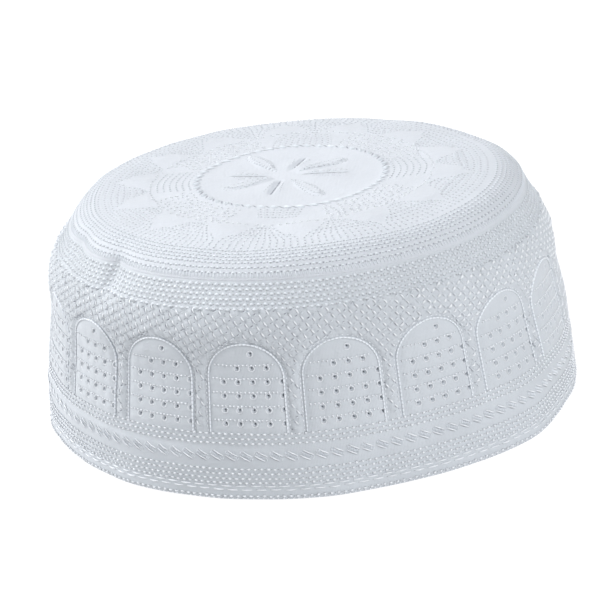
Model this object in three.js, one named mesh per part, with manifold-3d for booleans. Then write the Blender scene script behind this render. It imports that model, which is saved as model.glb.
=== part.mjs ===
// An embroidered prayer cap: a round flat crown sewn to a tall side band that flares to the rim.
// Millimetres, +Z up, the origin on the floor under the middle of the cap, the front towards -Y.
// Turns are in degrees round the cap, from the front towards +X.
import * as THREE from "three";
import { mergeVertices } from "three/addons/utils/BufferGeometryUtils.js";
import Module from "manifold-3d";

// The cap as a whole
const RIM_RADIUS = 90; // outside, at the lower edge
const SEAM_RADIUS = 75.9; // outside, where the crown is sewn on
const SEAM_HEIGHT = 67.6; // top of the side band
const CROWN_RISE = 7.8; // from the seam to the top of the crown

// Cloth
const WALL = 2; // two layers of cotton, quilted together
const HEM_HEIGHT = 5.4; // the lower edge is folded under inside, up to here
const HEM_FOLD = 0.9; // how much thicker the fold makes it
const EDGE_BEVEL = 0.6; // the turn of the cloth at the folded edge
const SEAM_GAP = 0.3; // between the side band and the crown
const ROLL_PROUD = 0.7; // how far the crown's rolled edge stands out past the seam
const ROLL_HEIGHT = 2.6;

// Arches embroidered round the side band
const ARCH_COUNT = 18;
const ARCH_TURN = 6; // the middle of the first arch
const ARCH_FOOT = 22; // height of the feet above the rim
const ARCH_LEG = 17.3; // straight part of each leg
const ARCH_CURVE = 11; // height of the rounded top above the legs
const NET_STRIP = 5.9; // between the outlines of two neighbours
const CORD_WIDTH = 1.6;
const CORD_PROUD = 0.9; // how far the corded outline stands out of the cloth

// Eyelets worked through the cloth inside each arch
const EYELET_DIAMETER = 1.5;
const EYELET_PITCH = 4.6; // between columns
const EYELET_SHIFT = 2.1; // the columns sit this far to the right of the arch's middle

// How finely the round forms are cut
const SEGMENTS = 72;
const CORD_STEPS = 12;
const EYELET_SIDES = 5;

// The side band from rim to seam. up: share of SEAM_HEIGHT. taper: share of the way from RIM_RADIUS to
// SEAM_RADIUS.
const SIDE_SECTIONS = [
  { up: 0, taper: 0 },
  { up: 0.18, taper: 0.06 },
  { up: 0.37, taper: 0.185 },
  { up: 0.59, taper: 0.36 },
  { up: 0.8, taper: 0.43 },
  { up: 0.92, taper: 0.72 },
  { up: 1, taper: 1 },
];

// The crown from seam to middle. up: share of CROWN_RISE. out: share of SEAM_RADIUS.
const CROWN_SECTIONS = [
  { up: 0, out: 1 },
  { up: 0.3, out: 0.98 },
  { up: 0.58, out: 0.955 },
  { up: 0.8, out: 0.905 },
  { up: 0.93, out: 0.8 },
  { up: 0.98, out: 0.6 },
  { up: 1, out: 0.3 },
  { up: 1, out: 0 },
];

// Dents in the cloth, and puffs, whose depth is negative. up, half_width and half_height: shares of
// SEAM_HEIGHT. depth: share of WALL.
const DENTS = [
  { turn: -50, up: 0.975, half_width: 0.095, half_height: 0.09, depth: 1.35 },
  { turn: -70, up: 0.99, half_width: 0.09, half_height: 0.075, depth: 1.05 },
  { turn: -60, up: 1, half_width: 0.08, half_height: 0.09, depth: -0.2 },
  { turn: -37, up: 0.98, half_width: 0.13, half_height: 0.08, depth: -0.2 },
  { turn: -42, up: 0.04, half_width: 0.24, half_height: 0.35, depth: -0.28 },
  { turn: 16, up: 0.04, half_width: 0.24, half_height: 0.35, depth: 0.7 },
  { turn: 48, up: 0.04, half_width: 0.24, half_height: 0.35, depth: -1.15 },
  { turn: 140, up: 1, half_width: 0.24, half_height: 0.14, depth: -0.65 },
  { turn: 180, up: 1, half_width: 0.24, half_height: 0.14, depth: -0.75 },
  { turn: -140, up: 1, half_width: 0.24, half_height: 0.14, depth: -0.4 },
  { turn: -100, up: 1, half_width: 0.24, half_height: 0.14, depth: 0.5 },
  { turn: -125, up: 0.5, half_width: 0.45, half_height: 0.35, depth: 0.4 },
  { turn: 145, up: 0.5, half_width: 0.45, half_height: 0.35, depth: 0.45 },
];

// Eyelets in an arch. up: share of the arch's height. columns: eyelet pitches from the shifted middle.
const EYELET_ROWS = [
  { up: 0.117, columns: [-1, 1] },
  { up: 0.42, columns: [0] },
  { up: 0.75, columns: [-1, 1] },
];

const wasm = await Module();
wasm.setup();
const { degToRad, lerp } = THREE.MathUtils;

// The profile moved into the cloth, square to itself.
function insetProfile(points, distance) {
  return points.map((point, i) => {
    const before = points[Math.max(i - 1, 0)];
    const after = points[Math.min(i + 1, points.length - 1)];
    const along = after.clone().sub(before).normalize();
    return new THREE.Vector2(
      Math.max(point.x - along.y * distance, 0),
      point.y + along.x * distance,
    );
  });
}

const sideOutside = SIDE_SECTIONS.map(
  (row) =>
    new THREE.Vector2(
      lerp(RIM_RADIUS, SEAM_RADIUS, row.taper),
      row.up * SEAM_HEIGHT,
    ),
);

// Radius of the side band's outer face at a height, between the steps of its profile.
function sideRadius(height) {
  const last = sideOutside.length - 1;
  const above = sideOutside.findIndex(
    (point, i) => i > 0 && (point.y >= height || i === last),
  );
  const [low, high] = [sideOutside[above - 1], sideOutside[above]];
  return lerp(low.x, high.x, (height - low.y) / (high.y - low.y));
}

// How far the cloth is pressed in at a place on the cap.
function dentDepth(turn, height, radius) {
  let depth = 0;
  for (const dent of DENTS) {
    const away = turn - degToRad(dent.turn);
    const nearest = Math.atan2(Math.sin(away), Math.cos(away));
    const across = (nearest * radius) / (dent.half_width * SEAM_HEIGHT);
    const up =
      (height - dent.up * SEAM_HEIGHT) / (dent.half_height * SEAM_HEIGHT);
    depth += dent.depth * WALL * Math.exp(-across * across - up * up);
  }
  return depth;
}

// Presses the dents into a form that follows the cloth. They fade out over the outer half of the crown.
function pressDents(geometry) {
  const position = geometry.getAttribute("position");
  const fadeRadius = SEAM_RADIUS / 2;
  for (let i = 0; i < position.count; i++) {
    const x = position.getX(i);
    const y = position.getY(i);
    const radius = Math.hypot(x, y);
    if (radius < fadeRadius) continue;
    const fade = Math.min(radius / fadeRadius - 1, 1);
    const depth =
      fade * dentDepth(Math.atan2(x, -y), position.getZ(i), radius);
    position.setXY(i, x * (1 - depth / radius), y * (1 - depth / radius));
  }
  geometry.computeVertexNormals();
  return geometry;
}

// A wall turned from its closed profile, its steps in line with the arches.
function clothWall(closedProfile) {
  const wall = new THREE.LatheGeometry(
    closedProfile,
    SEGMENTS,
    degToRad(ARCH_TURN),
  );
  return pressDents(wall.rotateX(Math.PI / 2));
}

// The side band: its outer face, the seam edge, its inner face and the folded hem.
function sideBandWall() {
  const inside = insetProfile(sideOutside, WALL).filter(
    (point) => point.y > HEM_HEIGHT + WALL,
  );
  inside.pop();
  return clothWall([
    new THREE.Vector2(RIM_RADIUS - EDGE_BEVEL, 0),
    new THREE.Vector2(sideRadius(EDGE_BEVEL), EDGE_BEVEL),
    ...sideOutside.slice(1),
    new THREE.Vector2(SEAM_RADIUS - WALL, SEAM_HEIGHT),
    ...inside.reverse(),
    new THREE.Vector2(sideRadius(HEM_HEIGHT) - WALL, HEM_HEIGHT),
    new THREE.Vector2(
      sideRadius(HEM_HEIGHT) - WALL - HEM_FOLD,
      HEM_HEIGHT - HEM_FOLD,
    ),
    new THREE.Vector2(RIM_RADIUS - WALL - HEM_FOLD, 0),
    new THREE.Vector2(RIM_RADIUS - EDGE_BEVEL, 0),
  ]);
}

// The crown: its rolled edge, its outer face to the middle, and its inner face back to the edge.
function crownWall() {
  const base = SEAM_HEIGHT + SEAM_GAP;
  const outside = CROWN_SECTIONS.map(
    (row) =>
      new THREE.Vector2(row.out * SEAM_RADIUS, base + row.up * CROWN_RISE),
  );
  const inside = insetProfile(outside, WALL).reverse();
  inside[0].x = 0;
  return clothWall([
    new THREE.Vector2(SEAM_RADIUS - WALL, base),
    new THREE.Vector2(SEAM_RADIUS, base),
    new THREE.Vector2(SEAM_RADIUS + ROLL_PROUD, base + ROLL_HEIGHT / 2),
    new THREE.Vector2(SEAM_RADIUS - ROLL_PROUD, base + ROLL_HEIGHT),
    ...outside.slice(1),
    ...inside.filter((_, i) => i % 2 === 0),
    new THREE.Vector2(SEAM_RADIUS - WALL, base),
  ]);
}

const archPitch = (2 * Math.PI) / ARCH_COUNT;
const archHalf = (archPitch * sideRadius(ARCH_FOOT) - NET_STRIP) / 2;
const archRise = ARCH_LEG + ARCH_CURVE;

// The line of an arch at the front of the cap: a straight leg, a rounded top and the other leg, laid on
// the side band.
class ArchLine extends THREE.Curve {
  getPoint(share, target = new THREE.Vector3()) {
    const top = (Math.PI * (archHalf + ARCH_CURVE)) / 2;
    const whole = 2 * ARCH_LEG + top;
    const far = share * whole;
    const swing = THREE.MathUtils.clamp((far - ARCH_LEG) / top, 0, 1) * Math.PI;
    const leg = Math.min(far, whole - far, ARCH_LEG);
    const turn = (-Math.cos(swing) * archHalf) / sideRadius(ARCH_FOOT);
    const height = ARCH_FOOT + leg + ARCH_CURVE * Math.sin(swing);
    const radius = sideRadius(height);
    return target.set(
      radius * Math.sin(turn),
      -radius * Math.cos(turn),
      height,
    );
  }
}

// The corded outline of one arch: a ridge with a narrow top, sunk to the middle of the wall.
function archCord(turn) {
  const ridge = new THREE.Shape([
    new THREE.Vector2(-CORD_WIDTH / 2, -WALL / 2),
    new THREE.Vector2(CORD_WIDTH / 2, -WALL / 2),
    new THREE.Vector2(CORD_WIDTH / 4, CORD_PROUD),
    new THREE.Vector2(-CORD_WIDTH / 4, CORD_PROUD),
  ]);
  const cord = new THREE.ExtrudeGeometry(ridge, {
    steps: CORD_STEPS,
    extrudePath: new ArchLine(),
  });
  return pressDents(cord.rotateZ(turn));
}

// A punch for one eyelet, across the middle of the arch, up from its feet.
function eyeletPunch(archTurn, across, up) {
  const height = ARCH_FOOT + up;
  const punch = new THREE.CylinderGeometry(
    EYELET_DIAMETER / 2,
    EYELET_DIAMETER / 2,
    4 * WALL,
    EYELET_SIDES,
  );
  punch.translate(0, -sideRadius(height), height);
  punch.rotateZ(archTurn + across / sideRadius(height));
  return punch;
}

function solidOf(geometry) {
  const bare = geometry.clone();
  bare.deleteAttribute("normal");
  bare.deleteAttribute("uv");
  const merged = mergeVertices(bare);
  return new wasm.Manifold(
    new wasm.Mesh({
      numProp: 3,
      vertProperties: merged.getAttribute("position").array,
      triVerts: new Uint32Array(merged.index.array),
    }),
  );
}

function geometryOf(manifold) {
  const mesh = manifold.getMesh();
  const geometry = new THREE.BufferGeometry();
  geometry.setAttribute(
    "position",
    new THREE.BufferAttribute(mesh.vertProperties, 3),
  );
  geometry.setIndex(new THREE.BufferAttribute(mesh.triVerts, 1));
  geometry.computeVertexNormals();
  return geometry;
}

// The side band with its corded arches raised and its eyelets cut through.
function sideBand() {
  let band = solidOf(sideBandWall());
  for (let arch = 0; arch < ARCH_COUNT; arch++) {
    const turn = degToRad(ARCH_TURN) + arch * archPitch;
    band = band.add(solidOf(archCord(turn)));
    for (const row of EYELET_ROWS) {
      for (const column of row.columns) {
        const across = EYELET_SHIFT + column * EYELET_PITCH;
        band = band.subtract(
          solidOf(eyeletPunch(turn, across, row.up * archRise)),
        );
      }
    }
  }
  return geometryOf(band);
}

function clothMaterial(color) {
  return new THREE.MeshStandardMaterial({
    color,
    roughness: 0.9,
    metalness: 0,
  });
}

function piece(name, geometry, material) {
  const mesh = new THREE.Mesh(geometry, material);
  mesh.name = name;
  return mesh;
}

const cap = new THREE.Group();
cap.add(piece("side_band", sideBand(), clothMaterial("#d6dbe4")));
cap.add(piece("crown", crownWall(), clothMaterial("#e4e8f1")));

export default cap;
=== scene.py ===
import math

import bpy
import numpy as np
from mathutils import Matrix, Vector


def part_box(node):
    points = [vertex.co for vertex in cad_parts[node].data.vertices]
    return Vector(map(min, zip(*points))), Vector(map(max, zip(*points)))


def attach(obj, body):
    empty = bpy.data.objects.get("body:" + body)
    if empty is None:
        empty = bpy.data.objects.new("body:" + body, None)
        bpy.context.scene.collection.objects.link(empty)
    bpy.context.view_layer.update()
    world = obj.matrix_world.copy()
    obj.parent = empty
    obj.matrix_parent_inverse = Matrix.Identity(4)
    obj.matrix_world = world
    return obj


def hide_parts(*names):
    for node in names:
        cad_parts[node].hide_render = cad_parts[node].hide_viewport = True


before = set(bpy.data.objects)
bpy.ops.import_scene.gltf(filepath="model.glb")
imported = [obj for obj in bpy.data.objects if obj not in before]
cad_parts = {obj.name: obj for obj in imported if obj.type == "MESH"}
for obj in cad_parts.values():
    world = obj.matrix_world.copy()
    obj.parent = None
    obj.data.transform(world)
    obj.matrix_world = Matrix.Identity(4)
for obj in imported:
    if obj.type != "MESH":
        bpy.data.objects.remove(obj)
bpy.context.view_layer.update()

# The side band is a tall ring of white cotton, two layers quilted together, that flares towards the rim.
# It is cut as one strip, sewn end to end and turned under along the bottom. A thumb has pressed two dents
# into it just under the crown, and the eyelets go through both layers.
MM = 0.001
FULL_TURN = 2 * math.pi
band_low, band_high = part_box("side_band")
RIM_RADIUS = (band_high.x - band_low.x) / 2 / MM
SEAM_HEIGHT = band_high.z / MM
SEAM_RADIUS = 0.8437 * RIM_RADIUS
# The side band's radius halfway up, by which the weave is laid round it
MIDDLE_RADIUS = 85
WALL = 2.0

# up: share of SEAM_HEIGHT, taper: share of the way from the rim's radius to the seam's
SIDE_UP = np.array([0, 0.18, 0.37, 0.59, 0.8, 0.92, 1]) * SEAM_HEIGHT
SIDE_TAPER = np.array([0, 0.06, 0.185, 0.36, 0.43, 0.72, 1])
SIDE_RADIUS = RIM_RADIUS + SIDE_TAPER * (SEAM_RADIUS - RIM_RADIUS)

# Dents, and puffs where the depth is negative: turn in degrees, then up, half width, half height, depth
DENTS = [
    (-50, 64.6, 5.6, 7.0, 1.7),
    (-51, 63.8, 2.4, 6.0, 1.1),
    (-70, 67.4, 5.0, 4.6, 1.5),
    (-60, 67.6, 5.4, 6.1, -0.4),
    (-37, 66.2, 8.8, 5.4, -0.4),
    (-42, 2.7, 16.2, 23.7, -0.56),
    (16, 2.7, 16.2, 23.7, 1.4),
    (48, 2.7, 16.2, 23.7, -2.3),
    (97, 56.0, 34.0, 6.0, 1.2),
    (116, 70.5, 46.0, 5.0, -2.4),
    (94, 31.0, 34.0, 10.0, -0.9),
    (140, 67.6, 16.2, 9.5, -1.3),
    (180, 67.6, 16.2, 9.5, -1.5),
    (-140, 67.6, 16.2, 9.5, -0.8),
    (-100, 67.6, 16.2, 9.5, 1.0),
    (-125, 33.8, 30.4, 23.7, 0.8),
    (145, 33.8, 30.4, 23.7, 0.9),
]

ARCHES = 18
ARCH_TURN = math.radians(6.05)
ARCH_TURNS = ARCH_TURN + np.arange(ARCHES) * FULL_TURN / ARCHES
ARCH_HALF = math.radians(8.05)
ARCH_FOOT, ARCH_SPRING, ARCH_TOP = 21.9, 39.3, 50.3
# The net is a square mesh on the slant: steep threads fall to the right, flat ones rise to the right.
# Going round once takes these many steps along the steep threads and along the flat ones.
NET_STEEP_STEPS, NET_FLAT_STEPS = 108, 173
NET_TOP = 60.4
STEEP_UP, STEEP_TURN = -1.93, math.radians(0.945)
FLAT_UP = -STEEP_UP * NET_STEEP_STEPS / NET_FLAT_STEPS
FLAT_TURN = (FULL_TURN - NET_STEEP_STEPS * STEEP_TURN) / NET_FLAT_STEPS
QUILT_LINES = np.array([26.1, 30.4, 34.8, 39.1, 43.6])
EYELET_LEVELS = np.array([24.9, 29.2, 33.6, 38.0, 42.5, 47.3])
EYELET_ROW, EYELET_COLUMN, EYELET_SHIFT = 4.37, 4.55, 2.3


def fade(value, start, end):
    """0 at start, 1 at end, with soft ends."""
    t = np.clip((value - start) / (end - start), 0, 1)
    return t * t * (3 - 2 * t)


def smooth_line(at, knots, values):
    """A smooth curve through the values at the knots."""
    slope = np.gradient(values, knots)
    i = np.clip(np.searchsorted(knots, at, side="right") - 1, 0, len(knots) - 2)
    step = knots[i + 1] - knots[i]
    t = np.clip((at - knots[i]) / step, 0, 1)
    return (
        values[i] * (2 * t**3 - 3 * t**2 + 1)
        + slope[i] * step * (t**3 - 2 * t**2 + t)
        + values[i + 1] * (3 * t**2 - 2 * t**3)
        + slope[i + 1] * step * (t**3 - t**2)
    )


def side_radius(up):
    """The side band's radius at a height."""
    return smooth_line(up, SIDE_UP, SIDE_RADIUS)


def arch_turn(turn):
    """Turn from the middle of the nearest arch."""
    pitch = FULL_TURN / ARCHES
    return (turn - ARCH_TURN + pitch / 2) % pitch - pitch / 2


def outside_arch(turn, up):
    """Millimetres from the outline of the nearest arch, negative inside it."""
    across = np.abs(arch_turn(turn))
    legs = (across - ARCH_HALF) * side_radius(up)
    rise = np.maximum(up - ARCH_SPRING, 0) / (ARCH_TOP - ARCH_SPRING)
    top = (np.hypot(across / ARCH_HALF, rise) - 1) * 11.5
    return np.where(up > ARCH_SPRING, top, legs)


def pressed(turn, up, radius):
    """How deep the cloth is pressed in by the dents."""
    depth = np.zeros(np.broadcast(turn, up).shape)
    for middle, height, half_width, half_height, deep in DENTS:
        away = turn - math.radians(middle)
        away = np.arctan2(np.sin(away), np.cos(away)) * radius
        depth = depth + deep * np.exp(
            -((away / half_width) ** 2) - ((up - height) / half_height) ** 2
        )
    return depth


def net_steps(turn, up):
    """Steps along the steep and along the flat threads of the net, whole at its knots."""
    size = STEEP_TURN * FLAT_UP - FLAT_TURN * STEEP_UP
    return (turn * FLAT_UP - up * FLAT_TURN) / size, (up * STEEP_TURN - turn * STEEP_UP) / size


def side_puff(turn, up):
    """How far the quilted layers stand up between their stitches."""
    away = outside_arch(turn, up)
    arc = arch_turn(turn) * side_radius(up)
    inside = fade(-away, 0.7, 2.0) * fade(up, ARCH_FOOT - 0.3, ARCH_FOOT + 1.2)
    rows = np.abs(np.sin(np.pi * (up - QUILT_LINES[0]) / EYELET_ROW))
    columns = np.abs(np.sin(np.pi * (arc - EYELET_SHIFT) / EYELET_COLUMN))
    panes = inside * (0.08 + 0.4 * rows**0.7 * (0.55 + 0.45 * columns**0.7))
    steep, flat = net_steps(turn, up)
    net = fade(away, 0.7, 1.7) * fade(up, ARCH_FOOT, ARCH_FOOT + 1) * fade(up, 60.8, 59.8)
    cells = 0.85 * net * np.abs(np.sin(np.pi * steep) * np.sin(np.pi * flat)) ** 0.6
    plain = 0.34 * fade(up, 11.2, 12.6) * fade(up, 17.9, 16.6)
    hem = 0.3 * np.sin(np.pi * np.clip(up / 5.6, 0, 1))
    shoulder = 0.08 * fade(up, 65.6, 66.2) * fade(up, SEAM_HEIGHT + 0.1, SEAM_HEIGHT - 0.6)
    groove = 0.45 * np.exp(-(((away - 0.75) / 0.55) ** 2)) * fade(up, ARCH_FOOT - 1, ARCH_FOOT + 0.5)
    waves = (
        0.22 * np.sin(3 * turn + 1.1 + up / 40)
        + 0.16 * np.sin(7 * turn - 0.6 + up / 17)
        + 0.1 * np.sin(19 * turn + 2.0 + up / 9)
        + 0.07 * np.sin(31 * turn - up / 5)
    )
    waves = waves * fade(up, SEAM_HEIGHT, SEAM_HEIGHT - 8)
    return panes + cells + plain + hem + shoulder + waves - groove


def side_place(turn, up, out=0.0, puffed=1.0):
    """Points on the outer face of the side band, out millimetres proud of it."""
    radius = side_radius(up)
    slope = side_radius(up + 0.5) - side_radius(up - 0.5)
    lean = 1 / np.hypot(1, slope)
    stand = out + puffed * side_puff(turn, up)
    radius = radius - pressed(turn, up, radius) + stand * lean
    return np.stack(
        [radius * np.sin(turn), -radius * np.cos(turn), up - stand * slope * lean],
        axis=-1,
    )


def sewn(name, points, *faces):
    """An object made from points in millimetres and arrays of faces."""
    mesh = bpy.data.meshes.new(name)
    mesh.vertices.add(len(points))
    mesh.vertices.foreach_set("co", (points * MM).astype(np.float32).ravel())
    sides = np.concatenate([np.full(len(f), f.shape[1]) for f in faces])
    mesh.loops.add(int(sides.sum()))
    mesh.loops.foreach_set(
        "vertex_index", np.concatenate([f.ravel() for f in faces]).astype(np.int32)
    )
    mesh.polygons.add(len(sides))
    mesh.polygons.foreach_set("loop_start", (np.cumsum(sides) - sides).astype(np.int32))
    mesh.update(calc_edges=True)
    mesh.validate()
    mesh.shade_smooth()
    piece = bpy.data.objects.new(name, mesh)
    bpy.context.scene.collection.objects.link(piece)
    return piece


def spaced(stops, step):
    """Levels about step apart that take in every stop."""
    runs = [
        np.linspace(a, b, max(2, round((b - a) / step) + 1))[:-1]
        for a, b in zip(stops, stops[1:])
    ]
    return np.concatenate([*runs, stops[-1:]])


ARCH_COLUMNS = 39
COLUMNS = ARCH_COLUMNS * ARCHES
# The columns of the eyelets in the top row of an arch, in the one under it, and in the other rows
EYELET_COLUMNS = [[3], [-3, 3, 9], [-9, -3, 3, 9, 15]]
# An eyelet tapers from the outer face to a waist inside the wall and a pinhole in the inner face.
EYELET_RADIUS, EYELET_WAIST, EYELET_BACK = 0.8, 0.3, 0.12
EYELET_SIDES = 8
PUFF_INSIDE = 0.35
# The wall runs from the seam down the outer face, under the hem, and up the inner face to the seam.
# Of each ring that isn't on a face: height, and how far it stands out
turned_hem = [(0.36, -0.15), (0.13, -0.6), (0.08, -1.5), (0.13, -2.4), (0.55, -2.8), (2.5, -2.95)]
turned_hem += [(4.6, -2.85), (5.3, -2.5), (5.8, -2.1)]
seam_edge = [(SEAM_HEIGHT + 0.1, -1.7), (SEAM_HEIGHT + 0.15, -0.25)]
outer_up = spaced(np.array([0.7, *EYELET_LEVELS, SEAM_HEIGHT - 0.2, SEAM_HEIGHT]), 0.8)[::-1]
inner_up = np.array(
    [8.5, 13, 18, *np.sort(np.add.outer(EYELET_LEVELS, [-0.9, 0, 0.9]).ravel()), 54, 60, 65]
)
row_up = np.concatenate(
    [outer_up, [u for u, _ in turned_hem], inner_up, [u for u, _ in seam_edge]]
)
row_out = np.concatenate(
    [0 * outer_up, [o for _, o in turned_hem], 0 * inner_up - WALL, [o for _, o in seam_edge]]
)
rows = len(row_up)
column_turn = ARCH_TURN + np.arange(COLUMNS) * FULL_TURN / COLUMNS
turn = np.tile(column_turn, (rows, 1))
up = np.tile(row_up[:, None], (1, COLUMNS))
out = np.tile(row_out[:, None], (1, COLUMNS))
puffed = np.where(row_out < -1.2, PUFF_INSIDE, 1.0)[:, None]

# The eight points round each eyelet move onto its edge, on the outer and on the inner face.
loops = {"outer": [], "inner": []}
centres, eyelets = [], []
for level, height in enumerate(EYELET_LEVELS):
    columns = EYELET_COLUMNS[min(len(EYELET_LEVELS) - 1 - level, 2)]
    for skin, levels in (("outer", outer_up), ("inner", inner_up)):
        start = 0 if skin == "outer" else len(outer_up) + len(turned_hem)
        row = start + int(np.argmin(np.abs(levels - height)))
        rising = 1 if levels[1] > levels[0] else -1
        wide = EYELET_RADIUS if skin == "outer" else EYELET_BACK
        for column in (ARCH_COLUMNS * a + c for a in range(ARCHES) for c in columns):
            middle = column % COLUMNS
            loop = []
            for side in range(EYELET_SIDES):
                angle = side * FULL_TURN / EYELET_SIDES
                right, above = round(math.cos(angle) * 1.2), round(math.sin(angle) * 1.2)
                r, c = row + above * rising, (middle + right) % COLUMNS
                turn[r, c] = column_turn[middle] + wide * math.cos(angle) / side_radius(height)
                up[r, c] = height + wide * math.sin(angle)
                loop.append(r * COLUMNS + c)
            loops[skin].append(loop)
            centres.append((row, middle))
            if skin == "outer":
                eyelets.append((column_turn[middle], height))
points = side_place(turn, up, out, puffed).reshape(-1, 3)
eyelets = np.array(eyelets)
angle = np.arange(EYELET_SIDES) * FULL_TURN / EYELET_SIDES
waist = side_place(
    eyelets[:, :1] + EYELET_WAIST * np.cos(angle) / side_radius(eyelets[:, 1:]),
    eyelets[:, 1:] + EYELET_WAIST * np.sin(angle),
    -0.55,
)
waist_loop = len(points) + np.arange(len(eyelets) * EYELET_SIDES).reshape(-1, EYELET_SIDES)
points = np.concatenate([points, waist.reshape(-1, 3)])

# All faces between the rows and columns are kept but those over an eyelet, which gets a tube instead.
r, c = np.meshgrid(np.arange(rows), np.arange(COLUMNS), indexing="ij")
r2, c2 = (r + 1) % rows, (c + 1) % COLUMNS
faces = np.stack([r * COLUMNS + c, r2 * COLUMNS + c, r2 * COLUMNS + c2, r * COLUMNS + c2], -1)
kept = np.ones((rows, COLUMNS), bool)
for row, column in centres:
    for dr in (-1, 0):
        for dc in (-1, 0):
            kept[(row + dr) % rows, (column + dc) % COLUMNS] = False
outer_loop, inner_loop = np.array(loops["outer"]), np.array(loops["inner"])
tubes = [
    np.stack([a, np.roll(a, -1, 1), np.roll(b, -1, 1), b], -1).reshape(-1, 4)
    for a, b in ((outer_loop, waist_loop), (waist_loop, inner_loop))
]
faces = np.concatenate([faces[kept], *tubes])
used, faces = np.unique(faces, return_inverse=True)
side_band = sewn("side_band_cotton", points[used], faces.reshape(-1, 4))


def add_node(nodes, kind, **values):
    """A shader node with the inputs named in values set."""
    node = nodes.new("ShaderNode" + kind)
    for name, value in values.items():
        node.inputs[name].default_value = value
    return node


def combined(nodes, links, operation, first, second):
    """Two values, or a value and a plain number, put together by a math node."""
    node = nodes.new("ShaderNodeMath")
    node.operation = operation
    for socket, value in zip(node.inputs, (first, second)):
        if isinstance(value, float):
            socket.default_value = value
        else:
            links.new(value, socket)
    return node.outputs[0]


def noise(nodes, links, place, scale, detail):
    """Soft random patches, scale of them to a metre."""
    patches = add_node(nodes, "TexNoise", Scale=scale, Detail=detail)
    links.new(place, patches.inputs["Vector"])
    return patches.outputs["Fac"]


def bumped(nodes, links, height, strength, distance, under=None):
    """The normals of a surface with this height on it."""
    bump = add_node(nodes, "Bump", Strength=strength, Distance=distance)
    links.new(height, bump.inputs["Height"])
    if under is not None:
        links.new(under, bump.inputs["Normal"])
    return bump.outputs["Normal"]


def between(nodes, links, share, low, high, reach=(0, 1)):
    """The colour low where share is at the start of reach, and high where it is at its end."""
    ramp = nodes.new("ShaderNodeValToRGB")
    for element, color, position in zip(ramp.color_ramp.elements, (low, high), reach):
        element.position = position
        element.color = (*color, 1)
    links.new(share, ramp.inputs["Fac"])
    return ramp.outputs["Color"]


def new_material(name, roughness, gloss, sheen):
    """A material with its nodes, its links and its shader."""
    material = bpy.data.materials.new(name)
    material.use_nodes = True
    shader = material.node_tree.nodes["Principled BSDF"]
    shader.inputs["Roughness"].default_value = roughness
    shader.inputs["Specular IOR Level"].default_value = gloss
    shader.inputs["Sheen Weight"].default_value = sheen
    return material, material.node_tree.nodes, material.node_tree.links, shader


def cotton(name, color, round_the_cap):
    """White cotton with a fine weave, small creases and the faint sheen of mercerised thread."""
    material, nodes, links, shader = new_material(name, 0.62, 0.35, 0.25)
    shader.inputs["Sheen Roughness"].default_value = 0.4
    place = nodes.new("ShaderNodeTexCoord").outputs["Object"]
    apart = nodes.new("ShaderNodeSeparateXYZ")
    links.new(place, apart.inputs[0])
    along = nodes.new("ShaderNodeCombineXYZ")
    across, other = apart.outputs["X"], apart.outputs["Y"]
    if round_the_cap:
        angle = combined(nodes, links, "ARCTAN2", across, other)
        across = combined(nodes, links, "MULTIPLY", angle, MIDDLE_RADIUS * MM)
        other = apart.outputs["Z"]
    links.new(across, along.inputs["X"])
    links.new(other, along.inputs["Y"])
    yarns = []
    for direction in ("X", "Y"):
        wave = add_node(nodes, "TexWave", Scale=700, Distortion=1.2, Detail=1)
        wave.wave_type = "BANDS"
        wave.bands_direction = direction
        links.new(along.outputs[0], wave.inputs["Vector"])
        yarns.append(wave.outputs["Color"])
    weave = combined(nodes, links, "ADD", *yarns)
    fine = bumped(nodes, links, weave, 0.35, 0.12 * MM)
    creases = noise(nodes, links, place, 420, 4)
    normal = bumped(nodes, links, creases, 0.5, 0.5 * MM, fine)
    links.new(normal, shader.inputs["Normal"])
    patches = noise(nodes, links, place, 45, 3)
    tint = between(nodes, links, patches, [0.94 * x for x in color], color, (0.3, 0.7))
    links.new(tint, shader.inputs["Base Color"])
    return material


# The band's cotton is a little darker than the crown's: painted shade, as the upright side takes less of
# the light from above.
side_band.data.materials.append(cotton("band cotton", (0.555, 0.59, 0.635), True))
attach(side_band, "root")
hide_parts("side_band")

# The crown is a round of the same quilted cotton, almost flat. Its edge turns down over a rounded shoulder
# and is whipped to the top of the side band.
_, crown_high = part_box("crown")
CROWN_TOP = crown_high.z / MM
# Along the cloth from the middle of the crown to its edge: radius, and how far below the top
CROWN_RADIUS = np.array([0, 22.8, 45.5, 57.0, 62.5, 66.5, 69.2, 71.4, 73.2, 74.6, 75.95])
CROWN_DROP = np.array([0, 0, 0.16, 0.45, 0.8, 1.4, 2.2, 3.35, 4.75, 6.2, 8.1])
CROWN_REACH = np.concatenate(
    [[0], np.cumsum(np.hypot(np.diff(CROWN_RADIUS), np.diff(CROWN_DROP)))]
)
CROWN_EDGE = CROWN_REACH[-1]
# In plan, the middle of the embroidery and that of the rosette in it
PATTERN, ROSETTE = np.array([-0.8, -0.6]), np.array([-3.2, 1.2])
# Veins: heading in degrees, inner end, outer end, depth. Loops: heading, outer end
VEINS = [(-8, 6, 23, 0.35), (66, 8, 19, 0.9), (169, 5.7, 18.4, 0.35), (255, 5, 20, 1.0)]
LOOPS = [(27, 24), (115, 26), (206, 22), (296, 26)]
LOOP_HALF_WIDTH, LOOP_HALF_LENGTH = 3.2, 9
ROPE_RING = 31.6
FANS = 14
FAN_TURN = 258.3


def crown_radius(reach):
    """The crown's radius, reach millimetres along the cloth from its middle."""
    return smooth_line(reach, CROWN_REACH, CROWN_RADIUS)


def crown_height(reach):
    """The crown's height, reach millimetres along the cloth from its middle."""
    return CROWN_TOP - smooth_line(reach, CROWN_REACH, CROWN_DROP)


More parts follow.
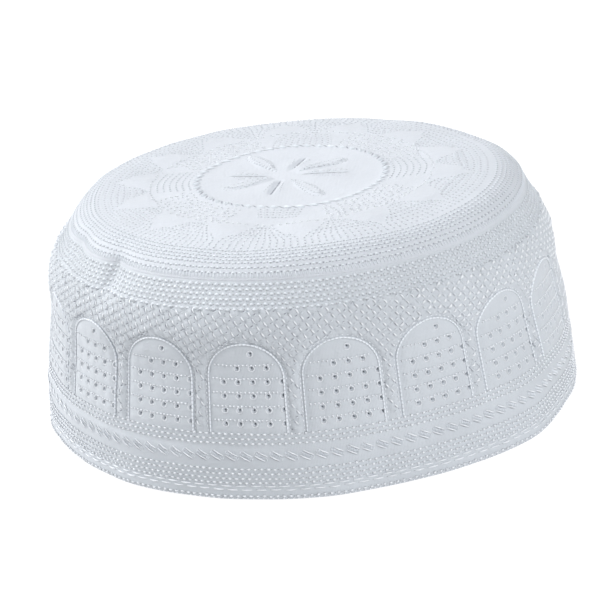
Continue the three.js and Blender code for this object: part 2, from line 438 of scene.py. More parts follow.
def crown_puff(turn, reach):
    """How far the crown's layers stand up between the stitches of the rosette, the ring and the fans."""
    x, y = reach * np.sin(turn), -reach * np.cos(turn)
    far = np.hypot(x - ROSETTE[0], y - ROSETTE[1])
    angle = np.arctan2(y - ROSETTE[1], x - ROSETTE[0])
    puff = np.zeros(np.broadcast(turn, reach).shape)
    for heading, _, outer, deep in VEINS:
        away = angle - math.radians(heading)
        beside, along = far * np.sin(away), far * np.cos(away)
        body = fade(along, 3, 8) * fade(along, outer + 2, outer - 3)
        puff = puff + body * (
            0.35 * np.exp(-((beside / 4.2) ** 2)) - deep * np.exp(-((beside / 0.95) ** 2))
        )
    for heading, outer in LOOPS:
        away = angle - math.radians(heading)
        beside, along = far * np.sin(away), far * np.cos(away)
        share = (along - outer + LOOP_HALF_LENGTH) / LOOP_HALF_LENGTH
        half = LOOP_HALF_WIDTH * np.sqrt(np.clip(1 - share**2, 0.0, 1))
        puff = puff + 0.55 * fade(half - np.abs(beside), 0.1, 1.5) * (along > 0)
    ring = np.hypot(x - PATTERN[0], y - PATTERN[1])
    puff = puff + 0.25 * np.exp(-(((ring - ROPE_RING) / 1.7) ** 2))
    round_fan = np.abs(np.sin(FANS / 2 * (np.arctan2(y, x) - math.radians(FAN_TURN))))
    petals = fade(ring, 45, 49) * fade(ring, 60, 54)
    puff = puff + 0.5 * petals * round_fan**1.5
    waves = (
        0.3 * np.sin(x / 13 + 0.7) * np.sin(y / 17 - 0.4)
        + 0.18 * np.sin(x / 7.1 - y / 9.3)
        + 0.1 * np.sin(x / 3.9 + 1.0) * np.sin(y / 4.4 + 0.3)
    )
    return puff + waves * fade(reach, 2, 8) * fade(reach, CROWN_EDGE - 0.5, CROWN_EDGE - 9)


def crown_place(turn, reach, out=0.0, puffed=1.0):
    """Points on the crown's outer face, reach millimetres along the cloth from its middle."""
    radius, height = crown_radius(reach), crown_height(reach)
    dr = crown_radius(reach + 0.3) - crown_radius(reach - 0.3)
    dz = crown_height(reach + 0.3) - crown_height(reach - 0.3)
    length = np.maximum(np.hypot(dr, dz), 1e-6)
    stand = out + puffed * crown_puff(turn, reach)
    radius = radius - stand * dz / length
    height = height + stand * dr / length
    depth = pressed(turn, height, radius) * fade(reach, 38, 74)
    radius = radius - depth
    return np.stack([radius * np.sin(turn), -radius * np.cos(turn), height], axis=-1)


def bridge(a, b):
    """Triangles or quads between two rings of points, where one may have twice as many."""
    n, m = len(a), len(b)
    if m == 1:
        return [np.stack([a, np.roll(a, -1), np.full(n, b[0])], -1)] if n > 1 else []
    if n == 1:
        return [np.stack([np.full(m, a[0]), np.roll(b, -1), b], -1)]
    if n == m:
        return [np.stack([a, np.roll(a, -1), np.roll(b, -1), b], -1)]
    if n > m:
        even, odd, after = a[0::2], a[1::2], np.roll(a[0::2], -1)
        b2 = np.roll(b, -1)
        return [np.stack(t, -1) for t in ((even, odd, b), (odd, b2, b), (odd, after, b2))]
    even, odd, after = b[0::2], b[1::2], np.roll(b[0::2], -1)
    a2 = np.roll(a, -1)
    return [np.stack(t, -1) for t in ((a, odd, even), (a, a2, odd), (a2, after, odd))]


OUTER_POINTS, INNER_POINTS = 704, 352
OUTER_SPACING = 0.42
CROWN_PUFF_INSIDE = 0.4


def round_count(reach, most):
    """How many points a ring takes."""
    around = FULL_TURN * float(crown_radius(reach))
    count = most
    while count > 22 and around / count < OUTER_SPACING * OUTER_POINTS / most:
        count //= 2
    return count


# Each ring of the crown: reach, how far it stands out, how many points
outer_reach = np.concatenate([[CROWN_EDGE], np.linspace(CROWN_EDGE - 0.15, 0.8, 104)])
inner_reach = np.concatenate([np.linspace(2.2, 66, 24), [70, 73, 75, CROWN_EDGE - 1.4]])
crown_rings = [(reach, 0.0, round_count(reach, OUTER_POINTS)) for reach in outer_reach]
crown_rings += [(0.0, 0.0, 1), (0.0, -WALL, 1)]
crown_rings += [(reach, -WALL, round_count(reach, INNER_POINTS)) for reach in inner_reach]
crown_rings += [(CROWN_EDGE - 0.02, -0.2, OUTER_POINTS)]
crown_points, ring_ids = [], []
count = 0
for reach, depth, n in crown_rings:
    around = np.arange(n) * FULL_TURN / n
    crown_points.append(
        crown_place(around, np.full(n, reach), depth, 1.0 if depth == 0 else CROWN_PUFF_INSIDE)
    )
    ring_ids.append(count + np.arange(n))
    count += n
parts = [f for a, b in zip(ring_ids, ring_ids[1:] + ring_ids[:1]) for f in bridge(a, b)]
crown = sewn(
    "crown_cotton",
    np.concatenate(crown_points),
    *[np.concatenate([f for f in parts if f.shape[1] == sides])[:, ::-1] for sides in (4, 3)],
)
# The crown's cotton is a little lighter than the band's: painted light on the same cloth where it faces
# up.
crown.data.materials.append(cotton("crown cotton", (0.575, 0.605, 0.655), False))
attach(crown, "root")
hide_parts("crown")

# The rows of running stitch round the side band are thick white cotton thread. Each stitch goes down
# through both layers at a needle hole, and the next one starts half a pitch along in the row above.
luck = np.random.default_rng(11)
# Of a stitch's points: share of its length, share of its width, share of its height (-1 is in the hole)
STITCH = [(0, 0, -1)] + 4 * [(0.17, 0.8, 0.2)] + 4 * [(0.5, 1, 1)] + 4 * [(0.83, 0.8, 0.2)] + [(1, 0, -1)]
STITCH_SHARE, STITCH_WIDTH, STITCH_HEIGHT = np.array(STITCH).T
STITCH_SIDE = np.array([0, *3 * [1, 0, -1, 0], 0])
STITCH_ABOVE = np.array([0, *3 * [0, 1, 0, -1], 0])
# Painted light and shade at each point of a stitch: darkest in the needle holes at its ends, lightest on
# top, darker at its sides and underneath
STITCH_LIGHT = np.array([0, 0.62, 0.8, 0.62, 0.5, 0.85, 1, 0.85, 0.6, 0.62, 0.8, 0.62, 0.5, 0])
HOLE_SIDES = 6
# How far the middle and the edge of a needle hole's shadow lie off the cloth
HOLE_MIDDLE, HOLE_EDGE = 0.07, 0.04


def cotton_thread(name, color, painted_shade_color, roughness):
    """Twisted cotton thread, glossier than the cloth, with painted shade where it goes down into the cloth
    and on its sides away from the light, as the shade attribute says.
    """
    material, nodes, links, shader = new_material(name, roughness, 0.45, 0.1)
    shade = nodes.new("ShaderNodeAttribute")
    shade.attribute_name = "shade"
    tint = between(nodes, links, shade.outputs["Fac"], painted_shade_color, color)
    links.new(tint, shader.inputs["Base Color"])
    place = nodes.new("ShaderNodeTexCoord").outputs["Object"]
    fibre = noise(nodes, links, place, 2600, 2)
    links.new(bumped(nodes, links, fibre, 0.3, 0.1 * MM), shader.inputs["Normal"])
    return material


# Each thread's second colour is its painted shade, which the shade attribute blends in.
thread_white = cotton_thread("white thread", (0.86, 0.89, 0.93), (0.36, 0.38, 0.42), 0.42)
row_cotton = cotton_thread("row thread", (0.68, 0.72, 0.77), (0.4, 0.43, 0.47), 0.5)
# The needle hole and deep gap colours are painted shade for flat dark spots laid where holes, grooves and
# gaps would be in shadow.
painted_hole_shade = cotton_thread("needle hole", (0.6, 0.63, 0.67), (0.2, 0.21, 0.24), 0.9)
painted_deep_shade = cotton_thread("deep gap", (0.5, 0.53, 0.58), (0.15, 0.16, 0.19), 0.9)
embroidery = {"side_band": [], "crown": []}
# What is embroidered: the panel, its points, and the millimetres that its first coordinate counts for
SIDE = ("side_band", side_place, side_radius)
SHOULDER = ("crown", crown_place, crown_radius)


def shaded(piece, values):
    """Keeps each point's painted light and shade, which the materials read as colour."""
    shade = piece.data.color_attributes.new("shade", "FLOAT_COLOR", "POINT")
    color = np.ones((len(values), 4), np.float32)
    color[:, :3] = np.asarray(values, np.float32)[:, None]
    shade.data.foreach_set("color", color.ravel())
    return piece


def stitched(piece, panel, thread):
    """Puts embroidery on its panel."""
    piece.data.materials.append(thread)
    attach(piece, "root")
    embroidery[panel].append(piece)


def sew(name, cloth, start, end, width, lift=0.3, thread=thread_white, dip=0.3, tip=0.0, plump=1.0):
    """Many stitches as one mesh, each humped between two needle holes, with painted shade at its ends and
    sides, its ends no darker than tip.
    """
    panel, place, stretch = cloth
    start, end = np.asarray(start, float), np.asarray(end, float)
    n = len(start)
    width = np.broadcast_to(width, n) * luck.uniform(0.88, 1.12, n)
    lift = np.broadcast_to(lift, n) * luck.uniform(0.8, 1.2, n)
    shift = luck.normal(0, 0.05, (n, 2))
    scale = stretch((start[:, 1] + end[:, 1]) / 2)
    line = end - start
    line[:, 0] *= scale
    length = np.maximum(np.hypot(line[:, 0], line[:, 1]), 1e-6)
    beside = np.stack([-line[:, 1], line[:, 0]], -1) / length[:, None]
    thick = STITCH_WIDTH * width[:, None]
    across = STITCH_SIDE * thick / 2
    a = start[:, :1] + (end - start)[:, :1] * STITCH_SHARE
    a = a + (beside[:, :1] * across + shift[:, :1]) / scale[:, None]
    b = start[:, 1:] + (end - start)[:, 1:] * STITCH_SHARE + beside[:, 1:] * across + shift[:, 1:]
    stand = np.where(STITCH_HEIGHT < 0, -dip, STITCH_HEIGHT * lift[:, None])
    stand = stand + STITCH_ABOVE * thick * plump / 2
    points = place(a, b, stand).reshape(-1, 3)
    first = (np.arange(n) * len(STITCH))[:, None, None]
    tips, bands = [], []
    for k in range(4):
        j = (k + 1) % 4
        tips += [(0, 1 + k, 1 + j), (13, 9 + j, 9 + k)]
        bands += [(1 + k, 5 + k, 5 + j, 1 + j), (5 + k, 9 + k, 9 + j, 5 + j)]
    tips = (first + np.array(tips)[None]).reshape(-1, 3)
    bands = (first + np.array(bands)[None]).reshape(-1, 4)
    piece = sewn(name, points, bands, tips)
    tone = luck.uniform(0.93, 1.0, n)[:, None]
    stitched(shaded(piece, (np.maximum(STITCH_LIGHT, tip) * tone).ravel()), panel, thread)


def paint_shade_spots(name, cloth, middle, along, length, width, thread=painted_hole_shade):
    """Flat dark spots just off the cloth, painted shade of the small sunk places where the thread goes
    down between two stitches, as one mesh.
    """
    panel, place, stretch = cloth
    middle = np.asarray(middle, float)
    n = len(middle)
    along = np.broadcast_to(along, n)
    scale = stretch(middle[:, 1])[:, None]
    angle = np.arange(HOLE_SIDES) * FULL_TURN / HOLE_SIDES
    size = luck.uniform(0.85, 1.15, (n, 1))
    u = np.cos(angle) * length / 2 * size
    v = np.sin(angle) * width / 2 * size
    da = u * np.cos(along)[:, None] - v * np.sin(along)[:, None]
    db = u * np.sin(along)[:, None] + v * np.cos(along)[:, None]
    a = np.concatenate([middle[:, :1], middle[:, :1] + da / scale], 1)
    b = np.concatenate([middle[:, 1:], middle[:, 1:] + db], 1)
    stand = np.tile([HOLE_MIDDLE] + HOLE_SIDES * [HOLE_EDGE], (n, 1))
    points = place(a, b, stand).reshape(-1, 3)
    first = (np.arange(n) * (HOLE_SIDES + 1))[:, None, None]
    fan = np.array([(0, 1 + k, 1 + (k + 1) % HOLE_SIDES) for k in range(HOLE_SIDES)])
    piece = sewn(name, points, (first + fan[None]).reshape(-1, 3))
    stitched(shaded(piece, np.tile([0] + HOLE_SIDES * [1], n)), panel, thread)


def running(rows, pitch, length, stagger=0.5, first=0, last=FULL_TURN, radius=side_radius):
    """Starts and ends of stitches in rows that go round, and the holes between them."""
    starts, ends, holes = [], [], []
    for k, level in enumerate(rows):
        around = (last - first) * float(radius(np.array(level)))
        count = max(1, round(around / pitch))
        step = (last - first) / count
        begin = first + (np.arange(count) + stagger * (k % 2)) * step
        stitch = step * length / pitch
        for target, turn in (
            (starts, begin),
            (ends, begin + stitch),
            (holes, begin + stitch + (step - stitch) / 2),
        ):
            target.append(np.stack([turn, np.full(count, level)], -1))
    return np.concatenate(starts), np.concatenate(ends), np.concatenate(holes)


RIM_PITCH, RIM_STITCH = 2.1, 1.15
low_rows = running([10.3, 8.8, 7.2, 5.8, 1.5], RIM_PITCH, RIM_STITCH)
foot_rows = running([21.6, 20.1, 18.6], RIM_PITCH, RIM_STITCH)
start, end, hole = (np.concatenate(both) for both in zip(low_rows, foot_rows))
sew("rim_rows", SIDE, start, end, 0.72)
# The dark spots between the stitches are painted shade of the needle holes.
paint_shade_spots("rim_row_hole_shadows", SIDE, hole, 0, 0.85, 0.5)
start, end, hole = running([66.5, 65.3, 64.0, 62.7, 61.4, 60.1], 2.15, 1.3)
sew("shoulder_rows", SIDE, start, end, 0.95, 0.08, row_cotton, tip=0.7, plump=0.5)
# The dark spots between the stitches are painted shade of the needle holes.
paint_shade_spots("shoulder_row_hole_shadows", SIDE, hole, 0, 0.85, 0.66)
start, end, _ = running([4.75, 3.65], 4.6, 4.3, 0.37)
sew("hem_lines", SIDE, start, end, 0.5, 0.2, dip=0.1)

# Between and above the arches the cotton is covered with a slanted net. Each side of a cell is one stitch,
# and four of them meet at a needle hole. On the cap's right the flat threads were sewn last and lie on
# top, and elsewhere the steep ones do.
# The band's radius in the middle of the net, and how far the net keeps from the arches and their foot
NET_RADIUS, NET_AWAY, NET_FOOT = 80, 0.95, ARCH_FOOT + 0.4
STEEP, FLAT = np.array([STEEP_TURN, STEEP_UP]), np.array([FLAT_TURN, FLAT_UP])
steep, flat = np.meshgrid(np.arange(-45, 170), np.arange(-5, 250), indexing="ij")
knot_turn = steep * STEEP_TURN + flat * FLAT_TURN
knot_up = steep * STEEP_UP + flat * FLAT_UP
round_once = (knot_turn >= 0) & (knot_turn < FULL_TURN - 1e-9)
knots = np.stack([knot_turn, knot_up], -1)[round_once & (knot_up > 20) & (knot_up < NET_TOP)]


def on_net(spots):
    """Whether places on the side band are within the net."""
    clear = outside_arch(spots[:, 0], spots[:, 1]) > NET_AWAY
    return clear & (spots[:, 1] > NET_FOOT) & (spots[:, 1] < NET_TOP)


def net_sides(side):
    """The knots where such a side of a cell starts, and how surely the flat threads lie on top there."""
    near = knots[on_net(knots) & on_net(knots + side)]
    turn = near[:, 0] % FULL_TURN
    return near, fade(turn, 0.3, 0.55) * fade(turn, 3.4, 2.6)


# The threads on top are the bright white thread and those under them the dimmer row thread: painted
# highlight on the one and painted shade on the other.
for name, side, wide, proud, flat_thread in (
    ("net_steep", STEEP, 0.5, 0.28, False),
    ("net_flat", FLAT, 0.66, 0.38, True),
):
    near, flat_over = net_sides(side)
    top = (flat_over if flat_thread else 1 - flat_over) > luck.random(len(near))
    start, end = near + 0.06 * side, near + 0.94 * side
    sew(name + "_top", SIDE, start[top], end[top], wide, proud)
    sew(name + "_under", SIDE, start[~top], end[~top], 0.5, 0.04, row_cotton)
# Dark strips beside the threads and dark spots at the knots are painted shade of the grooves the threads
# lie in and of the needle holes.
for name, side, beside, width in (
    ("net_groove_shadows", FLAT, np.array([0, 0.3]), 0.5),
    ("net_steep_groove_shadows", STEEP, np.array([-0.36 / NET_RADIUS, 0]), 0.36),
):
    near, flat_over = net_sides(side)
    hidden = flat_over if side is FLAT else 0 * flat_over
    near = near[hidden < luck.random(len(near))]
    slant = math.atan2(side[1], side[0] * NET_RADIUS)
    paint_shade_spots(name, SIDE, near + 0.5 * side + beside, slant, 1.75, width, painted_deep_shade)
paint_shade_spots("net_hole_shadows", SIDE, knots[on_net(knots)], 0, 0.72, 0.58, painted_deep_shade)

# Each arch is outlined by a cord of twisted white thread, couched down on the cotton, with a fine line of
# stitches outside it.
# The band's radius at the arches
ARCH_RADIUS = 86
CORD_POINTS, CORD_SIDES = 232, 8
# The cord's radius, the length of one turn of its twist, and how far its middle stands out
CORD_RADIUS, CORD_TWIST, CORD_STAND = 0.26, 1.1, 0.08
LINE_STITCHES, LINE_AWAY = 50, 0.85
cord_share = np.linspace(0, 1, CORD_POINTS)
leg = ARCH_SPRING - ARCH_FOOT
bow = math.pi * (ARCH_HALF * ARCH_RADIUS + ARCH_TOP - ARCH_SPRING) / 2
far = cord_share * (2 * leg + bow)
swing = np.clip((far - leg) / bow, 0, 1) * math.pi
cord_turn = -np.cos(swing) * ARCH_HALF
cord_up = (
    ARCH_FOOT + np.minimum(np.minimum(far, 2 * leg + bow - far), leg)
    + (ARCH_TOP - ARCH_SPRING) * np.sin(swing)
)


def crosswise(turns, ups):
    """A millimetre across a line on the side band, as a turn and a height, and the line's steps."""
    across, rise = np.gradient(turns) * side_radius(ups), np.gradient(ups)
    step = np.hypot(across, rise)
    return -rise / step / side_radius(ups), across / step, step


def twisted_cord(turns, ups):
    """The points of a twisted cord that is laid on the side band along a line."""
    beside_turn, beside_up, step = crosswise(turns, ups)
    around = np.arange(CORD_SIDES) * FULL_TURN / CORD_SIDES
    lay = 2 * around[None, :] - FULL_TURN * np.cumsum(step)[:, None] / CORD_TWIST
    thick = CORD_RADIUS * (1 + 0.16 * np.cos(lay))
    across, above = thick * np.cos(around), thick * np.sin(around)
    a = turns[:, None] + beside_turn[:, None] * across
    b = ups[:, None] + beside_up[:, None] * across
    return side_place(a, b, CORD_STAND + above).reshape(-1, 3)


ring, k = np.meshgrid(np.arange(CORD_POINTS - 1), np.arange(CORD_SIDES), indexing="ij")
a, b = ring * CORD_SIDES + k, ring * CORD_SIDES + (k + 1) % CORD_SIDES
skin = np.stack([a, b, b + CORD_SIDES, a + CORD_SIDES], -1).reshape(1, -1, 4)
end_ring = np.arange(CORD_SIDES)
ends = np.stack([end_ring[::-1], (CORD_POINTS - 1) * CORD_SIDES + end_ring])[None]
first = np.arange(ARCHES)[:, None, None] * CORD_POINTS * CORD_SIDES
arch_cords = sewn(
    "arch_cords",
    np.concatenate([twisted_cord(middle + cord_turn, cord_up) for middle in ARCH_TURNS]),
    (first + skin).reshape(-1, 4),
    (first + ends).reshape(-1, CORD_SIDES),
)
cord_white = cotton_thread("cord", (0.78, 0.82, 0.87), (0.34, 0.36, 0.4), 0.4)
# The cord's colour carries painted light and shade: lighter on top than underneath, and painted shade at
# every fourth ring along it.
light = np.where(np.arange(CORD_POINTS) % 4 == 0, 0.45, 1)[:, None]
light = light * (0.75 + 0.25 * np.sin(end_ring * FULL_TURN / CORD_SIDES))
stitched(shaded(arch_cords, np.tile(light.ravel(), ARCHES)), "side_band", cord_white)

line_share = np.linspace(0.0, 1.0, LINE_STITCHES)
line_turn = np.interp(line_share, cord_share, cord_turn)
line_up = np.interp(line_share, cord_share, cord_up)
beside_turn, beside_up, _ = crosswise(line_turn, line_up)
line = np.stack([line_turn + LINE_AWAY * beside_turn, line_up + LINE_AWAY * beside_up], -1)
start = np.concatenate([line[:-1] + (middle, 0) for middle in ARCH_TURNS])
end = start + np.tile(0.72 * (line[1:] - line[:-1]), (ARCHES, 1))
sew("arch_lines", SIDE, start, end, 0.4, 0.2)

# Inside each arch a raised rim of thread goes round every eyelet, and fine lines of dotted stitches run
# between their rows.
RIM_SEGMENTS, RIM_SIDES = 10, 4
around = np.arange(RIM_SEGMENTS) * FULL_TURN / RIM_SEGMENTS
tube = np.arange(RIM_SIDES) * FULL_TURN / RIM_SIDES
reach = EYELET_RADIUS + 0.15 + 0.2 * np.cos(tube)
across, rise = np.cos(around)[:, None] * reach, np.sin(around)[:, None] * reach
a = eyelets[:, 0, None, None] + across / side_radius(eyelets[:, 1])[:, None, None]
b = eyelets[:, 1, None, None] + rise
stand = np.broadcast_to(0.13 * np.sin(tube), a.shape)
first = np.arange(len(eyelets))[:, None, None] * RIM_SEGMENTS * RIM_SIDES
s, k = np.meshgrid(np.arange(RIM_SEGMENTS) * RIM_SIDES, np.arange(RIM_SIDES), indexing="ij")
s2, k2 = (s + RIM_SIDES) % (RIM_SEGMENTS * RIM_SIDES), (k + 1) % RIM_SIDES
rim = np.stack([s + k, s2 + k, s2 + k2, s + k2], -1).reshape(1, -1, 4)
eyelet_rims = sewn("eyelet_rims", side_place(a, b, stand).reshape(-1, 3), (first + rim).reshape(-1, 4))
# The rim's colour carries painted light and shade: lightest on top, darker underneath and darkest on the
# side towards the eyelet.
light = np.tile([0.6, 0.75, 0.35, 0.5], len(eyelets) * RIM_SEGMENTS)
stitched(shaded(eyelet_rims, light), "side_band", thread_white)

pane_lines = []
for middle in ARCH_TURNS:
    for height in QUILT_LINES:
        rise = max(height - ARCH_SPRING, 0) / (ARCH_TOP - ARCH_SPRING)
        reach = ARCH_HALF * math.sqrt(1 - rise * rise) - 1.3 / ARCH_RADIUS
        pane_lines.append(running([height], 1.25, 0.75, 0, middle - reach, middle + reach))
start, end, hole = (np.concatenate(lines) for lines in zip(*pane_lines))
sew("pane_lines", SIDE, start, end, 0.55)
# The dark spots between the stitches are painted shade of the needle holes.
paint_shade_spots("pane_line_hole_shadows", SIDE, hole, 0, 0.58, 0.44)

# A band of slanted bars runs round below the arches. Each one is laid satin stitch between two bright
# threads.
# How many bars there are, how high their middle is, and the band's radius there
BARS, BAR_HEIGHT, BAR_RADIUS = 118, 14.7, 88.6
BAR_SLANT = math.radians(-29)
# Of the two threads beside a bar, and of the stitches that fill it: half length, half width
BAR_REACH, BAR_EDGE = 2.35, 0.84
FILL_REACH, FILL_EDGE, FILL_STITCHES = 2.1, 0.72, 11
run = np.array([math.cos(BAR_SLANT), math.sin(BAR_SLANT)])
beside = np.array([-run[1], run[0]])
bar_turn = np.arange(BARS) * FULL_TURN / BARS + 0.01


def on_bars(along, across):
    """The same place on every bar: along it and across it from its middle."""
    spot = along * run + across * beside
    return np.stack([bar_turn + spot[0] / BAR_RADIUS, 0 * bar_turn + BAR_HEIGHT + spot[1]], -1)


start, end = (
    np.concatenate([on_bars(way, edge) for edge in (-BAR_EDGE, BAR_EDGE)])
    for way in (-BAR_REACH, BAR_REACH)
)
sew("bar_threads", SIDE, start, end, 0.46, 0.24)
fill_ways = np.linspace(-FILL_REACH, FILL_REACH, FILL_STITCHES)
start, end = (
    np.concatenate([on_bars(way, edge) for way in fill_ways]) for edge in (-FILL_EDGE, FILL_EDGE)
)
satin_grey = cotton_thread("satin fill", (0.7, 0.74, 0.79), (0.4, 0.42, 0.46), 0.5)
sew("bar_fill", SIDE, start, end, 0.4, 0.02, satin_grey, dip=0.16)
spot = np.concatenate([on_bars(0, edge) for edge in (-1.22, 0.5)])
paint_shade_spots("bar_shadows", SIDE, spot, BAR_SLANT, 4.3, 0.32, painted_deep_shade)

# Fine slanted ticks hold the folded hem, right on the lower edge, and short stitches whip the crown's
# edge to the band.
start, end, _ = running([0.55], 1.6, 0.8)
end[:, 1] += 0.35
sew("hem_ticks", SIDE, start, end, 0.4, 0.16)
start, end, _ = running([CROWN_EDGE - 2.7], 1.15, 0.3, radius=crown_radius)
end[:, 1] += 2.2
sew("whip_stitches", SHOULDER, start, end, 0.42, 0.05, row_cotton, tip=0.7)

# Rows of running stitch go round the shoulder of the crown.
CROWN_ROWS = [67.0, 68.5, 69.9, 71.2, 72.5, 74.3, 76.0]
start, end, hole = running(CROWN_ROWS, 2.0, 1.2, radius=crown_radius)
sew("crown_rows", SHOULDER, start, end, 0.85, 0.05, row_cotton, tip=0.8, plump=0.45)
# The dark spots between the stitches are painted shade of the needle holes.
paint_shade_spots("crown_row_hole_shadows", SHOULDER, hole, 0, 0.8, 0.72, painted_deep_shade)

# Dotted fans open towards the edge of the crown, with smooth teardrops of cotton between them. Inside
# them lie scallops of concentric arcs and a scatter of short stitches.


def on_crown(x, y, out=0.0):
    """Points on the crown over a place in plan."""
    return crown_place(np.arctan2(x, -y), np.hypot(x, y), out)


def in_plan(far, angle, centre=PATTERN):
    """A place in plan, far from the centre in a direction."""
    return np.stack([far * np.cos(angle) + centre[0], far * np.sin(angle) + centre[1]], -1)


def dotted(lines, pitch, length):
    """Stitches and holes along lines drawn in plan."""
    start, end, hole = [], [], []
    for line in lines:
        far = np.concatenate([[0], np.cumsum(np.hypot(*np.diff(line, axis=0).T))])
        count = max(1, int(far[-1] / pitch))
        step = far[-1] / count
        at = np.arange(count) * step + luck.uniform(-0.08, 0.08, count)
        for target, shift in ((start, 0), (end, length), (hole, (length + step) / 2)):
            target.append(np.stack([np.interp(at + shift, far, line[:, k]) for k in (0, 1)], -1))
    return np.concatenate(start), np.concatenate(end), np.concatenate(hole)


TOP = ("crown", on_crown, np.ones_like)
# Scallops: heading and half spread in degrees, how far they bulge out in the middle
SCALLOPS = [(82, 18, 0.3), (172, 19, 0.4), (262, 13, 0.2), (358, 19, 0.4)]
FAN_LINES, FAN_FOOT, FAN_EDGE = 13, 47.8, 65.4
lines = []
for fan in range(FANS):
    for k, opening in enumerate(np.linspace(-0.92, 0.92, FAN_LINES)):
        begin = (FAN_FOOT if k % 2 else FAN_FOOT + 6.2) + 2.5 * opening**2
        far = np.linspace(begin, FAN_EDGE, 20)
        a = opening * 180 / FANS * (0.2 + 0.8 * np.clip((far - 47.5) / 12.5, 0, 1))
        lines.append(in_plan(far, np.radians(FAN_TURN + fan * 360 / FANS + a)))
for heading, spread, bulge in SCALLOPS:
    for depth in range(6 if spread > 15 else 4):
        wide = spread - 1.2 * depth
        far = 33.9 + 2.15 * depth + bulge * np.cos(np.linspace(-1, 1, 24) * math.pi / 2)
        lines.append(in_plan(far, np.radians(np.linspace(heading - wide, heading + wide, 24))))
start, end, hole = dotted(lines, 2.0, 1.1)
sew("fans_and_scallops", TOP, start, end, 0.66, 0.03, row_cotton, tip=0.85, plump=0.4)
# The dark spots that dot the fans and scallops between their stitches are painted shade of the needle
# holes.
paint_shade_spots("fan_hole_shadows", TOP, hole, 0, 0.78, 0.7, painted_deep_shade)

# The short stitches are scattered round the scallops, and all the way round beyond them
SCATTER_GAP, SCATTER_ROW = 2.5, 1.8
spots = []
for far in np.arange(34.6, 47.5, SCATTER_ROW):
    count = round(FULL_TURN * far / SCATTER_GAP)
    a = (np.arange(count) + luck.uniform(-0.25, 0.25, count)) * FULL_TURN / count
    f = far + luck.uniform(-0.45, 0.45, count)
    from_scallop = np.abs((np.degrees(a) - 172 + 45) % 90 - 45)
    spots.append(in_plan(f, a)[(from_scallop > 21) | (f > 46.8)])
spots = np.concatenate(spots)
heading = np.arctan2(spots[:, 1], spots[:, 0]) + luck.normal(math.pi / 2, 0.4, len(spots))
way = np.stack([np.cos(heading), np.sin(heading)], -1) * 0.48
sew("scattered", TOP, spots - way, spots + way, 0.42, 0.12)
# The dark spot just beyond one end of each short stitch is painted shade of its needle hole.
paint_shade_spots("scattered_hole_shadows", TOP, spots + way * 1.6, 0, 0.66, 0.6, painted_deep_shade)

# A rope of slanted satin bars makes a ring round the middle.
ROPE_BARS, ROPE_HALF = 46, 1.9
ROPE_SLANT = math.radians(48)
a = np.arange(ROPE_BARS) * FULL_TURN / ROPE_BARS
way = np.stack([np.cos(a + ROPE_SLANT), np.sin(a + ROPE_SLANT)], -1)
off = np.stack([-way[:, 1], way[:, 0]], -1)
middle = in_plan(ROPE_RING, a)
start, end = (
    np.concatenate([middle + half * way + off * edge for edge in (-0.45, 0.0, 0.45)])
    for half in (-ROPE_HALF, ROPE_HALF)
)
sew("rope_ring", TOP, start, end, 0.5, 0.1, row_cotton)
# Dark strips in the gaps between the bars are painted shade.
gap = a + math.pi / ROPE_BARS
paint_shade_spots("rope_gap_shadows", TOP, in_plan(ROPE_RING, gap), gap + ROPE_SLANT, 3.8, 0.85, painted_deep_shade)

# The rosette in the middle has eight petals. Four are fans of straight stitches either side of a deep
# vein, and four are rounded loops.
lines = []
for heading, inner, outer, deep in VEINS:
    a = math.radians(heading)
    for edge in (-3.6, -1.8, 1.8, 3.6) if deep < 0.8 else (-2.8, 2.8):
        line = in_plan(np.linspace(inner + abs(edge), outer - abs(edge), 14), a, ROSETTE)
        spread = edge * np.linspace(0.6, 1, 14)[:, None]
        lines.append(line + spread * np.array([-math.sin(a), math.cos(a)]))
t = np.linspace(0, FULL_TURN, 60)
share = (1 - np.cos(t)) / 2
for heading, outer in LOOPS:
    a = math.radians(heading)
    for size in (1.0, 0.5):
        along = 6 + (outer - 7 + size) * share * (0.9 + 0.1 * size)
        beside = 3.3 * size * np.sign(np.sin(t)) * np.abs(np.sin(t)) ** 0.6 * (0.3 + 0.7 * share)
        x = ROSETTE[0] + along * math.cos(a) - beside * math.sin(a)
        y = ROSETTE[1] + along * math.sin(a) + beside * math.cos(a)
        lines.append(np.stack([x, y], -1))
start, end, hole = dotted(lines, 1.7, 1.5)
sew("rosette", TOP, start, end, 0.42, 0.02, satin_grey, tip=0.6, plump=0.5)
# The dark spots between the rosette's stitches are painted shade of the needle holes.
paint_shade_spots("rosette_hole_shadows", TOP, hole, 0, 0.5, 0.45, painted_deep_shade)
# Dark strips along the veins are painted shade of their dips.
spots, turns = [], []
for heading, inner, outer, _ in VEINS:
    far = np.arange(inner + 1.8, outer - 1.5, 1.8)
    spots.append(in_plan(far, math.radians(heading), ROSETTE))
    turns.append(np.full(len(far), math.radians(heading)))
paint_shade_spots("rosette_vein_shadows", TOP, np.concatenate(spots), np.concatenate(turns), 4.4, 0.95, painted_deep_shade)

# The cap stands on a white sheet lit from below, under broad soft light from above and both sides.
bpy.ops.mesh.primitive_plane_add(size=12)
floor = bpy.context.object
floor.name = "floor"
floor_white = bpy.data.materials.new("floor white")
floor_white.use_nodes = True
paint = floor_white.node_tree.nodes["Principled BSDF"]
paint.inputs["Base Color"].default_value = (0.2, 0.2, 0.2, 1)
paint.inputs["Emission Color"].default_value = (1, 1, 1, 1)
paint.inputs["Emission Strength"].default_value = 0.86
paint.inputs["Roughness"].default_value = 0.9
floor.data.materials.append(floor_white)

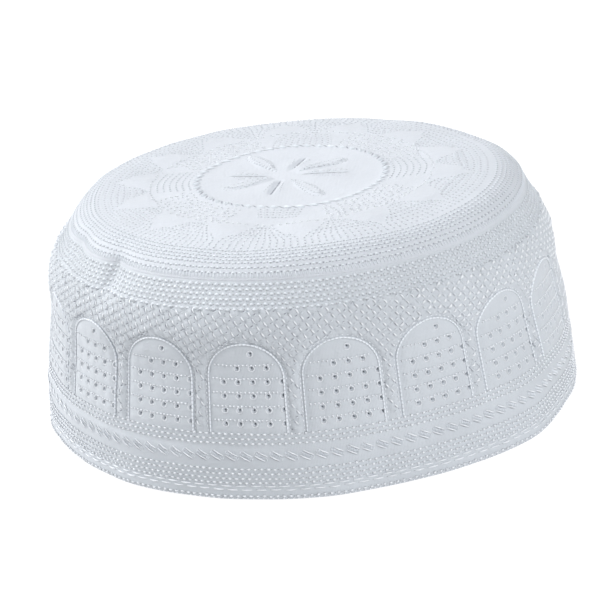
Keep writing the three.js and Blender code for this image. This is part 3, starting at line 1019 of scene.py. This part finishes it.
world = bpy.data.worlds.new("studio")
bpy.context.scene.world = world
world.use_nodes = True
world.node_tree.nodes["Background"].inputs["Color"].default_value = (0.96, 0.98, 1, 1)
world.node_tree.nodes["Background"].inputs["Strength"].default_value = 0.2


def soft_sun(name, azimuth, elevation, strength, spread):
    """A light far away and as broad as a window."""
    lamp = bpy.data.lights.new(name, "SUN")
    lamp.energy = strength
    lamp.angle = math.radians(spread)
    holder = bpy.data.objects.new(name, lamp)
    holder.rotation_euler = (math.radians(90 - elevation), 0, math.radians(azimuth))
    bpy.context.scene.collection.objects.link(holder)


soft_sun("overhead", 176, 67, 0.85, 28)
soft_sun("left window", -112, 30, 3.5, 40)
soft_sun("right window", 44, 42, 2.25, 40)

# The camera looks down at the cap from in front, a little tilted, as the photograph was taken.
CAMERA_AWAY, CAMERA_UP, CAMERA_ROLL = 0.8, math.radians(20.31), math.radians(5.36)
SENSOR, PIXELS, FOCAL_PIXELS = 36, 612, 2368.8
# A point inside the cap, in metres, and the pixel of the picture that it comes out at
TARGET = np.array([0, 0, 0.042])
TARGET_AT = np.array([302.4, 270.1])
back = np.array([0, -math.cos(CAMERA_UP), math.sin(CAMERA_UP)])
right = np.array([1.0, 0, 0])
above = np.cross(back, right)
tilt_right = math.cos(CAMERA_ROLL) * right - math.sin(CAMERA_ROLL) * above
tilt_up = math.sin(CAMERA_ROLL) * right + math.cos(CAMERA_ROLL) * above
aside, down = PIXELS / 2 - TARGET_AT
behind = FOCAL_PIXELS * back - aside * tilt_right + down * tilt_up
behind /= np.linalg.norm(behind)
camera_right = np.cross(tilt_up, behind)
camera_right /= np.linalg.norm(camera_right)
camera_up = np.cross(behind, camera_right)
camera = bpy.data.objects.new("camera", bpy.data.cameras.new("camera"))
camera.data.sensor_width = SENSOR
camera.data.lens = SENSOR * FOCAL_PIXELS / PIXELS
camera.data.clip_end = 50
spot = TARGET + back * CAMERA_AWAY
camera.matrix_world = Matrix(
    [[*pair, spot[k]] for k, pair in enumerate(zip(camera_right, camera_up, behind))]
    + [[0, 0, 0, 1]]
)
bpy.context.scene.collection.objects.link(camera)
bpy.context.scene.camera = camera
bpy.context.scene.view_settings.view_transform = "Standard"
